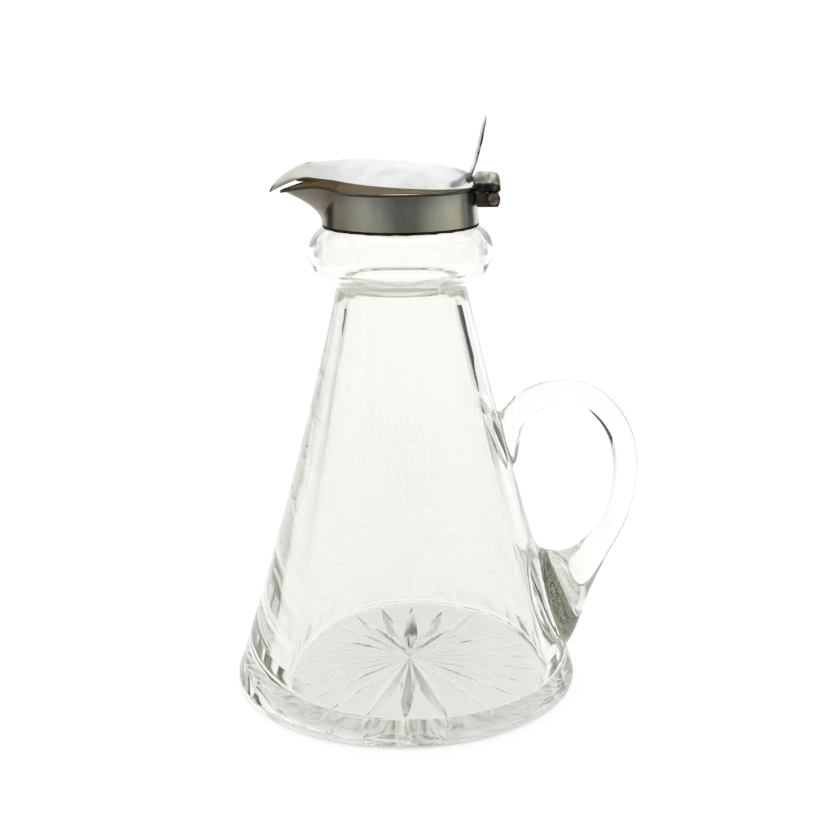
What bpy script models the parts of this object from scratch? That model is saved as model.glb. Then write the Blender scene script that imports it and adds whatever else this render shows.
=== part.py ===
"""Glass jug with a hinged metal lid: a conical noggin with a bulb neck, a drawn handle and a cut foot.

Metres, +Z up. The jug stands on z = 0, its spout points to -X and its handle and hinge to +X.
"""
from math import acos, cos, pi, radians, sin, sqrt, tan

import bmesh
import bpy
from mathutils import Matrix, Vector

MM = 0.001

# glass, turned part
FOOT_R = 40.25 * MM            # corners of the faceted foot
FOOT_CHAMFER = 0.3 * MM
FOOT_EDGE_Z = 1.8 * MM         # top of the upright edge of the foot
FOOT_TOP_R = 38.7 * MM
FOOT_TOP_Z = 7.2 * MM
FOOT_FACETS = 28
CONE_R = 38.1 * MM             # cone where it leaves the foot
CONE_TOP_R = 14.7 * MM
CONE_TOP_Z = 94.1 * MM
CONE_SAG = 1.04 * MM           # how far the cone's side is hollow at half height
BULB_RING_R = 13.04 * MM       # centre of the bulb's round, from the jug's axis
BULB_Z = 102.34 * MM
BULB_ROUND = 7.72 * MM
BULB_RISE = 6.58 * MM          # the bulb is flatter above its middle
NECK_R = 16.0 * MM
NECK_TOP_Z = 114.2 * MM
NECK_LIP = 0.7 * MM
TURN_STEPS = 56

# glass, inside
FLOOR_Z = 4.6 * MM
FLOOR_R = 30.4 * MM
FLOOR_FILLET = 5.0 * MM
CAVITY_R = 33.6 * MM           # cavity where the floor's fillet ends
CAVITY_Z = 10.5 * MM
CAVITY_TOP_R = 12.0 * MM
CAVITY_TOP_Z = 92.6 * MM
CAVITY_SAG = 0.95 * MM
INNER_ROUND = 6.0 * MM
INNER_RING_R = 12.6 * MM
MOUTH_R = 13.4 * MM

# star cut under the base
STAR_RAYS = 24
STAR_R = 31.5 * MM
STAR_DEPTH = 1.3 * MM
STAR_HALF_WIDTH = 1.75 * MM

# handle: outer and inner point of each section (x from the jug's axis, z) and half its width along Y
HANDLE_SECTIONS = (
    ((20.6, 64.0), (23.9, 50.3), 3.1),
    ((22.9, 64.7), (26.3, 52.4), 3.6),
    ((24.9, 67.2), (27.4, 58.4), 3.2),
    ((29.2, 70.2), (29.8, 63.4), 2.95),
    ((36.6, 71.9), (36.6, 66.2), 2.85),
    ((42.7, 70.9), (41.0, 65.5), 2.85),
    ((48.3, 67.1), (44.6, 62.7), 2.9),
    ((52.5, 61.2), (47.5, 58.1), 2.9),
    ((54.6, 54.0), (48.9, 52.8), 2.9),
    ((54.4, 45.8), (48.7, 45.5), 2.9),
    ((52.2, 37.2), (46.6, 38.0), 2.9),
    ((47.9, 28.3), (42.1, 32.3), 3.0),
    ((44.4, 20.5), (37.8, 30.1), 3.6),
    ((42.2, 13.8), (33.9, 30.3), 4.7),
    ((39.3, 7.2), (30.6, 31.6), 5.9),
    ((36.4, 7.4), (28.4, 30.2), 6.0),
)
HANDLE_STEPS = 3               # sections added for each one given
HANDLE_SIDES = 18

# collar
COLLAR_BASE_R = 17.5 * MM
COLLAR_BASE_Z = 108.4 * MM
COLLAR_RIM_R = 16.9 * MM
COLLAR_RIM_Z = 116.35 * MM
COLLAR_WALL = 0.6 * MM
COLLAR_LEVELS = 8
SPOUT_REACH = 9.7 * MM         # past the collar's rim
SPOUT_SPREAD = radians(35)     # half angle of the spout at the rim, seen from the axis
SPOUT_ROOT_SPREAD = radians(15)
SPOUT_LIFT = 0.75 * MM         # the lip rises beside the tip
SPOUT_DIP = 0.45 * MM          # and falls at it
RIM_POINTS = 64

# lid, in its own plane
LID_R = 17.3 * MM
LID_REACH = 11.5 * MM          # of the beak past the lid's round edge
LID_RISE = 4.15 * MM
LID_SADDLE = 0.17              # share of the rise that is missing before the beak
LID_SADDLE_X = (-9.0 * MM, -29.0 * MM)
LID_SHEET = 0.7 * MM
LID_AJAR = radians(4.1)
LID_PLANE_X = 19.5 * MM        # the tilted plane passes this x at LID_PLANE_Z
LID_PLANE_Z = 116.5 * MM
LID_POWER = 2.5                # squareness of the dome's section
BEAK_X = -20.0 * MM            # where the beak starts to bend down
BEAK_DROP = 4.6 * MM

# hinge and thumb-piece
HINGE_X = 20.35 * MM
HINGE_Z = 114.0 * MM
KNUCKLE_R = 1.5 * MM
PIN_R = 0.6 * MM
HINGE_HALF_WIDTH = 6.0 * MM
LID_KNUCKLE_HALF_WIDTH = 2.0 * MM
LUG_BOTTOM_Z = 115.85 * MM
LUG_EDGE_Z = 117.2 * MM
LUG_CROWN_Z = 119.5 * MM
LUG_END_X = 21.9 * MM
THUMB_LINE = ((15.5, 116.8), (15.7, 119.6), (16.5, 122.0), (17.3, 124.3), (18.2, 126.6), (18.7, 129.0),
              (19.3, 131.6))
THUMB_SHEET = 0.8 * MM
THUMB_WIDTHS = ((0.0, 5.6), (0.25, 3.6), (0.65, 4.3), (0.9, 3.3), (1.0, 0.9))   # share up, half width

CLEARANCE = 0.3 * MM
HANDLE_REACH = 54.75 * MM
AXIS_X = (FOOT_R - HANDLE_REACH) / 2   # puts the jug's box about x = 0


def clear_scene():
    for obj in list(bpy.data.objects):
        bpy.data.objects.remove(obj, do_unlink=True)


def make_collection(name):
    collection = bpy.data.collections.new(name)
    bpy.context.scene.collection.children.link(collection)
    return collection


def make_material(name, color, roughness, metallic, transmission=0.0):
    material = bpy.data.materials.new(name)
    material.use_nodes = True
    shader = material.node_tree.nodes["Principled BSDF"]
    shader.inputs["Base Color"].default_value = (*color, 1.0)
    shader.inputs["Roughness"].default_value = roughness
    shader.inputs["Metallic"].default_value = metallic
    shader.inputs["Transmission Weight"].default_value = transmission
    material.diffuse_color = (*color, 1.0)
    return material


def add_object(name, mesh, collection, material=None):
    obj = bpy.data.objects.new(name, mesh)
    collection.objects.link(obj)
    if material:
        mesh.materials.append(material)
    return obj


def mesh_from(name, bm):
    bmesh.ops.recalc_face_normals(bm, faces=bm.faces)
    mesh = bpy.data.meshes.new(name)
    bm.to_mesh(mesh)
    bm.free()
    mesh.shade_smooth()
    mesh.set_sharp_from_angle(angle=radians(35))
    return mesh


def turned(name, profile, steps, collection, material=None):
    """Solid turned about the jug's axis from an (r, z) profile, top to bottom, that ends on the axis."""
    mesh = bpy.data.meshes.new(name)
    edges = [(i, i + 1) for i in range(len(profile) - 1)]
    mesh.from_pydata([(r, 0.0, z) for r, z in profile], edges, [])
    obj = add_object(name, mesh, collection, material)
    obj.location.x = AXIS_X
    screw = obj.modifiers.new("turn", "SCREW")
    screw.axis = "Z"
    screw.steps = steps
    screw.render_steps = steps
    screw.use_merge_vertices = True
    screw.merge_threshold = 0.00001
    return obj


def lofted(name, rings, collection, material=None):
    """Closed solid over rings of equal point counts, with a flat face on the first and the last."""
    bm = bmesh.new()
    rows = [[bm.verts.new(point) for point in ring] for ring in rings]
    count = len(rows[0])
    for low, high in zip(rows, rows[1:]):
        for i in range(count):
            j = (i + 1) % count
            bm.faces.new((low[i], low[j], high[j], high[i]))
    bm.faces.new(rows[0])
    bm.faces.new(rows[-1])
    return add_object(name, mesh_from(name, bm), collection, material)


def box(name, low, high, collection, material=None):
    bm = bmesh.new()
    bmesh.ops.create_cube(bm, size=1.0)
    low, high = Vector(low), Vector(high)
    bmesh.ops.scale(bm, vec=high - low, verts=bm.verts)
    bmesh.ops.translate(bm, vec=(low + high) / 2, verts=bm.verts)
    return add_object(name, mesh_from(name, bm), collection, material)


def rod_along_y(name, x, z, radius, y_low, y_high, collection, material=None, segments=32):
    bm = bmesh.new()
    bmesh.ops.create_cone(bm, cap_ends=True, segments=segments, radius1=radius, radius2=radius,
                          depth=y_high - y_low, matrix=Matrix.Rotation(pi / 2, 4, "X"))
    bmesh.ops.translate(bm, vec=(x, (y_low + y_high) / 2, z), verts=bm.verts)
    return add_object(name, mesh_from(name, bm), collection, material)


def boolean(obj, other, operation):
    modifier = obj.modifiers.new(operation.lower(), "BOOLEAN")
    modifier.operation = operation
    modifier.object = other


def as_cutter(obj):
    obj.hide_render = True
    obj.display_type = "WIRE"
    return obj


def set_origin(obj, point):
    """Moves the object's origin to a world point and leaves its shape where it is."""
    shift = Vector(point) - obj.location
    obj.data.transform(Matrix.Translation(-shift))
    obj.location = point


def smooth_line(points, steps):
    """Points of a Catmull-Rom curve through the given points."""
    points = [Vector(p) for p in points]
    padded = [2 * points[0] - points[1]] + points + [2 * points[-1] - points[-2]]
    line = []
    for a, b, c, d in zip(padded, padded[1:], padded[2:], padded[3:]):
        for step in range(steps):
            t = step / steps
            line.append(0.5 * (2 * b + (c - a) * t + (2 * a - 5 * b + 4 * c - d) * t * t
                               + (3 * b - a - 3 * c + d) * t ** 3))
    return line + [points[-1]]


def hollow_side(r_low, z_low, r_high, z_high, sag, count):
    """Side of a cone from its top to its foot, slightly hollow."""
    side = []
    for i in range(count + 1):
        t = 1 - i / count
        side.append((r_low + (r_high - r_low) * t - 4 * sag * t * (1 - t), z_low + (z_high - z_low) * t))
    return side


def arc(center_r, center_z, radius_r, radius_z, start, end, count):
    """Points of an elliptic arc in the profile's plane, angles in degrees from +r."""
    angles = [radians(start + (end - start) * i / count) for i in range(count + 1)]
    return [(center_r + radius_r * cos(a), center_z + radius_z * sin(a)) for a in angles]


def outer_profile():
    neck_angle = acos((NECK_R - BULB_RING_R) / BULB_ROUND) * 180 / pi
    profile = [(0.0, NECK_TOP_Z)]
    profile += arc(NECK_R - NECK_LIP, NECK_TOP_Z - NECK_LIP, NECK_LIP, NECK_LIP, 90, 0, 3)
    profile += arc(BULB_RING_R, BULB_Z, BULB_ROUND, BULB_RISE, neck_angle, 0, 6)
    profile += arc(BULB_RING_R, BULB_Z, BULB_ROUND, BULB_ROUND, -12, -84, 6)
    profile += hollow_side(CONE_R, FOOT_TOP_Z, CONE_TOP_R, CONE_TOP_Z, CONE_SAG, 8)
    profile += [(CONE_R - 2 * MM, FOOT_TOP_Z - 2 * MM), (0.0, FOOT_TOP_Z - 2 * MM)]
    return profile


def foot_profile():
    return [(0.0, FOOT_TOP_Z), (FOOT_TOP_R, FOOT_TOP_Z), (FOOT_R, FOOT_EDGE_Z), (FOOT_R, FOOT_CHAMFER),
            (FOOT_R - FOOT_CHAMFER, 0.0), (0.0, 0.0)]


def cavity_profile():
    above = NECK_TOP_Z + 3 * MM
    profile = [(0.0, above), (MOUTH_R + 1.2 * MM, above), (MOUTH_R + 1.0 * MM, NECK_TOP_Z)]
    profile += [(MOUTH_R, NECK_TOP_Z - 1.2 * MM)]
    top_angle = acos((MOUTH_R - INNER_RING_R) / INNER_ROUND) * 180 / pi
    profile += arc(INNER_RING_R, BULB_Z, INNER_ROUND, INNER_ROUND, top_angle, -85, 11)
    profile += [(CAVITY_TOP_R - 0.1 * MM, CAVITY_TOP_Z + 1.8 * MM)]
    profile += hollow_side(CAVITY_R, CAVITY_Z, CAVITY_TOP_R, CAVITY_TOP_Z, CAVITY_SAG, 6)
    profile += arc(CAVITY_R - FLOOR_FILLET, FLOOR_Z + FLOOR_FILLET, FLOOR_FILLET, FLOOR_FILLET, -8, -90, 4)
    profile += [(0.0, FLOOR_Z)]
    return profile


def handle_rings():
    lines = [smooth_line([section[side] for section in HANDLE_SECTIONS], HANDLE_STEPS) for side in (0, 1)]
    widths = smooth_line([(section[2], 0.0) for section in HANDLE_SECTIONS], HANDLE_STEPS)
    rings = []
    for outer, inner, width in zip(*lines, widths):
        middle = (outer + inner) * 0.5 * MM
        half = (outer - inner) * 0.5 * MM
        ring = []
        for i in range(HANDLE_SIDES):
            turn = 2 * pi * i / HANDLE_SIDES
            flat = middle + half * cos(turn)
            ring.append(Vector((AXIS_X + flat.x, width.x * MM * sin(turn), flat.y)))
        rings.append(ring)
    return rings


def star_cutter(cutters):
    """Star of mitre cuts: the tips run out at the base and all the cuts meet in a peak on the axis."""
    half_turn = pi / STAR_RAYS
    notch_r = 1 / (cos(half_turn) / STAR_R + sin(half_turn) / STAR_HALF_WIDTH)
    bm = bmesh.new()
    bmesh.ops.create_circle(bm, cap_ends=True, segments=2 * STAR_RAYS, radius=STAR_R)
    for i, vert in enumerate(bm.verts):
        angle = half_turn * i
        reach = STAR_R if i % 2 == 0 else notch_r
        vert.co = (AXIS_X + reach * cos(angle), reach * sin(angle), 0.0)
    sides = bmesh.ops.extrude_face_region(bm, geom=list(bm.faces))["geom"]
    top = [item for item in sides if isinstance(item, bmesh.types.BMFace)]
    bmesh.ops.translate(bm, vec=(0, 0, -2 * MM), verts=[v for v in bm.verts if v not in top[0].verts[:]])
    peak = bmesh.ops.poke(bm, faces=top)["verts"][0]
    peak.co = (AXIS_X, 0.0, STAR_DEPTH)
    return as_cutter(add_object("star_cuts", mesh_from("star_cuts", bm), cutters))


def glass_body(jug, cutters):
    glass = make_material("lead_glass", (0.86, 0.89, 0.87), 0.03, 0.0, 0.9)
    body = turned("glass_body", outer_profile(), TURN_STEPS, jug, glass)
    foot = as_cutter(turned("foot_block", foot_profile(), FOOT_FACETS, cutters))
    handle = as_cutter(lofted("handle_rod", handle_rings(), cutters))
    cavity = as_cutter(turned("cavity", cavity_profile(), TURN_STEPS, cutters))
    boolean(body, foot, "UNION")
    boolean(body, handle, "UNION")
    boolean(body, cavity, "DIFFERENCE")
    boolean(body, star_cutter(cutters), "DIFFERENCE")
    return body


def rim_angles():
    """Angles from -X around the rim, closer together at the spout."""
    angles = []
    for i in range(RIM_POINTS):
        s = 2 * i / RIM_POINTS - 1
        angles.append(pi * s * (0.5 + 0.5 * abs(s)))
    return angles


def spout_share(angle, spread):
    """1 at the spout's tip, 0 from the spread on."""
    soft = radians(2.0)
    away = sqrt(angle * angle + soft * soft) - soft
    return max(0.0, 1 - away / spread) ** 1.65


def rim_lift(angle):
    away = abs(angle)
    lift = 0.0
    if away < radians(42):
        lift += SPOUT_LIFT * sin(pi * away / radians(42)) ** 2
    if away < radians(12):
        lift -= SPOUT_DIP * (1 - away / radians(12)) ** 2
    return lift


def collar_ring(level, inset):
    spread = SPOUT_ROOT_SPREAD + (SPOUT_SPREAD - SPOUT_ROOT_SPREAD) * level
    radius = COLLAR_BASE_R + (COLLAR_RIM_R - COLLAR_BASE_R) * level - inset
    ring = []
    for angle in rim_angles():
        reach = radius + SPOUT_REACH * level ** 1.9 * spout_share(angle, spread)
        z = COLLAR_BASE_Z + (COLLAR_RIM_Z - COLLAR_BASE_Z + rim_lift(angle)) * level
        ring.append(Vector((AXIS_X - reach * cos(angle), reach * sin(angle), z)))
    return ring


def collar(jug):
    silver = make_material("silver_plate", (0.62, 0.62, 0.60), 0.18, 1.0)
    levels = [i / COLLAR_LEVELS for i in range(COLLAR_LEVELS + 1)]
    rings = [collar_ring(level, 0.0) for level in levels]
    rings += [collar_ring(level, COLLAR_WALL) for level in reversed(levels)]
    bm = bmesh.new()
    rows = [[bm.verts.new(point) for point in ring] for ring in rings]
    for low, high in zip(rows, rows[1:] + rows[:1]):
        for i in range(RIM_POINTS):
            j = (i + 1) % RIM_POINTS
            bm.faces.new((low[i], low[j], high[j], high[i]))
    return add_object("collar", mesh_from("collar", bm), jug, silver)


def lid_outline(angle, grow=0.0):
    return LID_R + grow + LID_REACH * spout_share(angle, SPOUT_SPREAD)


def beak_drop(x):
    past = max(0.0, BEAK_X - x)
    full = LID_R + LID_REACH + BEAK_X
    return BEAK_DROP * (past / full) ** 1.4


def saddle(x):
    start, end = LID_SADDLE_X
    along = min(1.0, max(0.0, (x - start) / (end - start)))
    return 1 - LID_SADDLE * sin(pi * along) ** 2


def lid_ring(share, rise, grow):
    """Ring of the dome at a share of the way from its middle to its edge, about the jug's axis."""
    height = rise * max(0.0, 1 - share ** LID_POWER) ** (1 / LID_POWER)
    ring = []
    for angle in rim_angles():
        reach = lid_outline(angle, grow) * share
        x = -reach * cos(angle)
        ring.append(Vector((x, reach * sin(angle), height * saddle(x) - beak_drop(x))))
    return ring


def lid_shares():
    """Shares of the way out, close together where the dome turns down to its edge."""
    return [sin(radians(a)) for a in (10, 28, 44, 57, 68, 77, 84)] + [1.0]


def tilt_lid(rings):
    """From the lid's plane, whose origin is on the jug's axis, to the jug, ajar."""
    turn = Matrix.Rotation(LID_AJAR, 4, "Y")
    lift = LID_PLANE_Z + LID_PLANE_X * tan(LID_AJAR)
    place = Matrix.Translation((AXIS_X, 0, lift)) @ turn
    return [[place @ point for point in ring] for ring in rings]


def lid(jug, cutters):
    silver = make_material("silver_lid", (0.78, 0.78, 0.76), 0.14, 1.0)
    top = [lid_ring(share, LID_RISE, 0.0) for share in lid_shares()]
    under = [lid_ring(share, LID_RISE - LID_SHEET, -LID_SHEET) for share in reversed(lid_shares())]
    shell = lofted("lid", tilt_lid(top + under), jug, silver)
    set_origin(shell, (AXIS_X + HINGE_X, 0, HINGE_Z))
    grown = [lid_ring(share, LID_RISE + CLEARANCE, CLEARANCE) for share in lid_shares()]
    floor = [[point - Vector((0, 0, 3 * MM)) for point in grown[-1]]]
    room = as_cutter(lofted("lid_room", tilt_lid(grown + floor), cutters))
    return room


def round_room(name, radius, cutters):
    """Upright cylinder about the jug's axis that keeps the hinge's pieces off the collar and the lid."""
    top = LUG_CROWN_Z + 5 * MM
    bottom = COLLAR_BASE_Z - 5 * MM
    return as_cutter(turned(name, [(0.0, top), (radius, top), (radius, bottom), (0.0, bottom)],
                            TURN_STEPS, cutters))


def hinge_mount(jug, cutters):
    """Block soldered to the collar, with a knuckle at each side."""
    silver = make_material("hinge_metal", (0.30, 0.29, 0.27), 0.4, 1.0)
    x = AXIS_X + HINGE_X
    block = box("hinge_mount", (AXIS_X + 12 * MM, -HINGE_HALF_WIDTH, HINGE_Z - 1.7 * MM),
                (x, HINGE_HALF_WIDTH, HINGE_Z + 0.9 * MM), jug, silver)
    barrel = as_cutter(rod_along_y("barrel", x, HINGE_Z, KNUCKLE_R, -HINGE_HALF_WIDTH, HINGE_HALF_WIDTH, cutters))
    bore = as_cutter(rod_along_y("mount_bore", x, HINGE_Z, PIN_R + CLEARANCE, -8 * MM, 8 * MM, cutters))
    gap_y = LID_KNUCKLE_HALF_WIDTH + CLEARANCE
    gap = as_cutter(rod_along_y("lid_knuckle_room", x, HINGE_Z, KNUCKLE_R + CLEARANCE, -gap_y, gap_y, cutters))
    room = round_room("collar_room", COLLAR_BASE_R + CLEARANCE, cutters)
    boolean(block, barrel, "UNION")
    boolean(block, gap, "DIFFERENCE")
    boolean(block, bore, "DIFFERENCE")
    boolean(block, room, "DIFFERENCE")
    return block


def hinge_pin(jug):
    steel = make_material("pin_brass", (0.36, 0.27, 0.19), 0.35, 1.0)
    return rod_along_y("hinge_pin", AXIS_X + HINGE_X, HINGE_Z, PIN_R, -HINGE_HALF_WIDTH - 0.3 * MM,
                       HINGE_HALF_WIDTH + 0.3 * MM, jug, steel, 20)


def lug_ring(x, end_drop):
    """Upright section across the lug: flat below and crowned above."""
    ring = [Vector((x, -HINGE_HALF_WIDTH, LUG_BOTTOM_Z)), Vector((x, HINGE_HALF_WIDTH, LUG_BOTTOM_Z))]
    for i in range(9):
        t = 1 - i / 4
        z = LUG_EDGE_Z + (LUG_CROWN_Z - LUG_EDGE_Z) * (1 - t * t) - end_drop
        ring.append(Vector((x, HINGE_HALF_WIDTH * t, z)))
    return ring


def lid_lug(jug, cutters):
    """Block behind the lid that carries the middle knuckle."""
    silver = make_material("lug_metal", (0.52, 0.52, 0.49), 0.32, 1.0)
    x = AXIS_X + HINGE_X
    end = AXIS_X + LUG_END_X
    rings = [lug_ring(AXIS_X + 13 * MM, 0.0), lug_ring(end - 1.6 * MM, 0.0), lug_ring(end - 0.5 * MM, 0.35 * MM),
             lug_ring(end, 0.9 * MM)]
    lug = lofted("lid_lug", rings, jug, silver)
    knuckle = as_cutter(rod_along_y("lid_knuckle", x, HINGE_Z, KNUCKLE_R, -LID_KNUCKLE_HALF_WIDTH,
                                    LID_KNUCKLE_HALF_WIDTH, cutters))
    neck = as_cutter(box("lug_neck", (x - 0.7 * KNUCKLE_R, -LID_KNUCKLE_HALF_WIDTH, HINGE_Z),
                         (x + KNUCKLE_R, LID_KNUCKLE_HALF_WIDTH, LUG_BOTTOM_Z + 0.4 * MM), cutters))
    bore = as_cutter(rod_along_y("lid_bore", x, HINGE_Z, PIN_R + CLEARANCE, -8 * MM, 8 * MM, cutters))
    boolean(lug, round_room("lug_room", LID_R + CLEARANCE, cutters), "DIFFERENCE")
    boolean(lug, neck, "UNION")
    boolean(lug, knuckle, "UNION")
    boolean(lug, bore, "DIFFERENCE")
    set_origin(lug, (x, 0, HINGE_Z))
    return lug


def thumb_half_width(share):
    """Half width at a share of the way up, eased between the given ones."""
    for (low, low_width), (high, high_width) in zip(THUMB_WIDTHS, THUMB_WIDTHS[1:]):
        if share <= high:
            t = (share - low) / (high - low)
            if high_width > low_width or low == 0.0:
                t = (1 - cos(pi * t)) / 2
            else:
                t = 1 - sqrt(1 - t * t)
            break
    return (low_width + (high_width - low_width) * t) * MM


def thumb_piece(jug, room):
    """Thin upright sheet, bent in an S, with a wide root, a waist and a rounded top."""
    silver = make_material("thumb_metal", (0.66, 0.67, 0.67), 0.2, 1.0)
    line = smooth_line(THUMB_LINE, 3)
    rings = []
    for i, point in enumerate(line):
        t = i / (len(line) - 1)
        ahead = line[min(i + 1, len(line) - 1)] - line[max(i - 1, 0)]
        across = Vector((ahead.y, -ahead.x)).normalized() * THUMB_SHEET / 2
        width = thumb_half_width(t)
        center = Vector((AXIS_X + point.x * MM, point.y * MM))
        ring = []
        for side, edge in ((1, 1), (1, 0.55), (1, -0.55), (1, -1), (-1, -1), (-1, -0.55), (-1, 0.55), (-1, 1)):
            thick = 0.55 if abs(edge) == 1 else 1.0
            spot = center + across * side * thick
            ring.append(Vector((spot.x, width * edge, spot.y)))
        rings.append(ring)
    sheet = lofted("thumb_piece", rings, jug, silver)
    boolean(sheet, room, "DIFFERENCE")
    set_origin(sheet, (AXIS_X + HINGE_X, 0, HINGE_Z))
    return sheet


def main():
    clear_scene()
    jug = make_collection("glass_jug")
    cutters = make_collection("cutters")
    glass_body(jug, cutters)
    collar(jug)
    hinge_mount(jug, cutters)
    hinge_pin(jug)
    room = lid(jug, cutters)
    lid_lug(jug, cutters)
    thumb_piece(jug, room)


main()
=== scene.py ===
from math import acos, atan2, cos, degrees, hypot, pi, radians, sin, sqrt, tan
from random import Random

import bmesh
import bpy
from mathutils import Matrix, Vector, noise
from mathutils.kdtree import KDTree


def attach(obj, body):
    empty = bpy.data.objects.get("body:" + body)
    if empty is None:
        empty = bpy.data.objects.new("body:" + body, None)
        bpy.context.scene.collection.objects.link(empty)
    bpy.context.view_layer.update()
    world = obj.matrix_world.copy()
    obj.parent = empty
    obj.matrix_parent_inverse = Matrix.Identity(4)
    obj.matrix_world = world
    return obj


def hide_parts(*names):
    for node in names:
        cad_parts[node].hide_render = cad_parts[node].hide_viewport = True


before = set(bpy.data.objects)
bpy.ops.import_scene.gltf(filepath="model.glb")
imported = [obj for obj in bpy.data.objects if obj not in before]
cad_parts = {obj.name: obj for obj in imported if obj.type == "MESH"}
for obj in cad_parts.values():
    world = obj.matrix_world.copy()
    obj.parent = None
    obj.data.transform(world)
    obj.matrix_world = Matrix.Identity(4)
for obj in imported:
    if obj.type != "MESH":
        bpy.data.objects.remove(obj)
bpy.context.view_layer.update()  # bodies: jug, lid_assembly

mm = 0.001
axisX = -7.25 * mm  # the jug's own axis stands here


def hexColor(code):
    channels = [int(code[i:i + 2], 16) / 255 for i in (1, 3, 5)]
    return tuple(c / 12.92 if c <= 0.04045 else ((c + 0.055) / 1.055) ** 2.4 for c in channels) + (1.0,)


def addNode(tree, kind, inputs=None, stops=(), **settings):
    # inputs are values or sockets to link; stops fill a colour ramp
    node = tree.nodes.new("ShaderNode" + kind)
    for name, value in settings.items():
        setattr(node, name, value)
    for name, value in (inputs or {}).items():
        if isinstance(value, bpy.types.NodeSocket):
            tree.links.new(value, node.inputs[name])
        else:
            node.inputs[name].default_value = value
    for i, (place, color) in enumerate(stops):
        element = node.color_ramp.elements[i] if i < 2 else node.color_ramp.elements.new(place)
        element.position = place
        element.color = hexColor(color) if isinstance(color, str) else (color, color, color, 1.0)
    return node


def newMaterial(name, values):
    # values go on the shader's own sockets
    material = bpy.data.materials.new(name)
    material.use_nodes = True
    tree = material.node_tree
    shader = tree.nodes["Principled BSDF"]
    for socket, value in values.items():
        shader.inputs[socket].default_value = value
    return material, tree, shader


def ringPoint(radius, angle, z):
    # radius and height are in mm, round the jug's axis
    return (axisX + radius * cos(angle) * mm, radius * sin(angle) * mm, z * mm)


def openEdges(loop):
    # the edges along a loop of vertices that still want a face; the dictionary keeps their order
    known = set(loop)
    return list({e: 1 for v in loop for e in v.link_edges if e.other_vert(v) in known and len(e.link_faces) < 2})


def extrudeOn(bm, current, rings, marks=()):
    # extrudes a closed loop from ring to ring; every ring has as many points as the loop
    layer = bm.verts.layers.float["zone"] if marks else None
    for ringIndex, ring in enumerate(rings):
        made = bmesh.ops.extrude_edge_only(bm, edges=openEdges(current))["geom"]
        fresh = {v for v in made if isinstance(v, bmesh.types.BMVert)}
        current = [next(e.other_vert(v) for e in v.link_edges if e.other_vert(v) in fresh) for v in current]
        for vert, point in zip(current, ring):
            vert.co = point
            if marks:
                vert[layer] = marks[ringIndex]
    return current


def extrudeRings(bm, rings, caps=True, marks=()):
    # marks give each ring a value of the attribute zone, which its material reads
    layer = bm.verts.layers.float.new("zone") if marks else None
    first = bmesh.ops.create_circle(bm, cap_ends=False, segments=len(rings[0]), radius=1.0)["verts"]
    for vert, point in zip(first, rings[0]):
        vert.co = point
        if marks:
            vert[layer] = marks[0]
    last = extrudeOn(bm, first, rings[1:], marks[1:])
    for loop in (first, last) if caps else ():
        bmesh.ops.edgeloop_fill(bm, edges=openEdges(loop))


def bareObject(name, bm):
    bmesh.ops.recalc_face_normals(bm, faces=bm.faces)
    mesh = bpy.data.meshes.new(name)
    bm.to_mesh(mesh)
    bm.free()
    thing = bpy.data.objects.new(name, mesh)
    bpy.context.scene.collection.objects.link(thing)
    return thing


def finishPiece(name, bm, material, body, replaced=(), sharp=35, sharpAt=None):
    # sharp is the angle in degrees past which an edge stays crisp, or sharpAt gives it for a place
    bmesh.ops.remove_doubles(bm, verts=bm.verts, dist=1e-7)
    bmesh.ops.recalc_face_normals(bm, faces=bm.faces)
    for face in bm.faces:
        face.smooth = True
    for edge in bm.edges:
        limit = sharpAt((edge.verts[0].co + edge.verts[1].co) / 2) if sharpAt else sharp
        edge.smooth = edge.calc_face_angle(0) < radians(limit)
    piece = bareObject(name, bm)
    piece.data.materials.append(material)
    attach(piece, body)
    if replaced:
        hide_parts(*replaced)


def smoothLine(points, steps):
    # Catmull-Rom curve through the points
    points = [Vector(p) for p in points]
    padded = [2 * points[0] - points[1]] + points + [2 * points[-1] - points[-2]]
    line = []
    for a, b, c, d in zip(padded, padded[1:], padded[2:], padded[3:]):
        for step in range(steps):
            t = step / steps
            line.append(0.5 * (2 * b + (c - a) * t + (2 * a - 5 * b + 4 * c - d) * t * t
                    + (3 * b - a - 3 * c + d) * t ** 3))
    return line + [points[-1]]


def arc(centerR, centerZ, radiusR, radiusZ, start, end, count):
    angles = [radians(start + (end - start) * i / count) for i in range(count + 1)]
    return [(centerR + radiusR * cos(a), centerZ + radiusZ * sin(a)) for a in angles]


def hollowSide(rLow, zLow, rHigh, zHigh, sag, count):
    side = []
    for i in range(count + 1):
        t = i / count
        side.append((rLow + (rHigh - rLow) * t - 4 * sag * t * (1 - t), zLow + (zHigh - zLow) * t))
    return side


def easeInOut(t):
    t = min(1.0, max(0.0, t))
    return t * t * (3 - 2 * t)


cameraSet = {
    "place": (-7.25, -316.56, 150.20),  # mm
    "tiltDown": 0.2657,  # radians, as are the next two
    "turn": 0.0080,
    "roll": -0.0107,
    "lens": 61.64,  # mm, on a sensor this wide
    "sensor": 36.0,
    "nearest": 0.01,  # m
}


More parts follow.
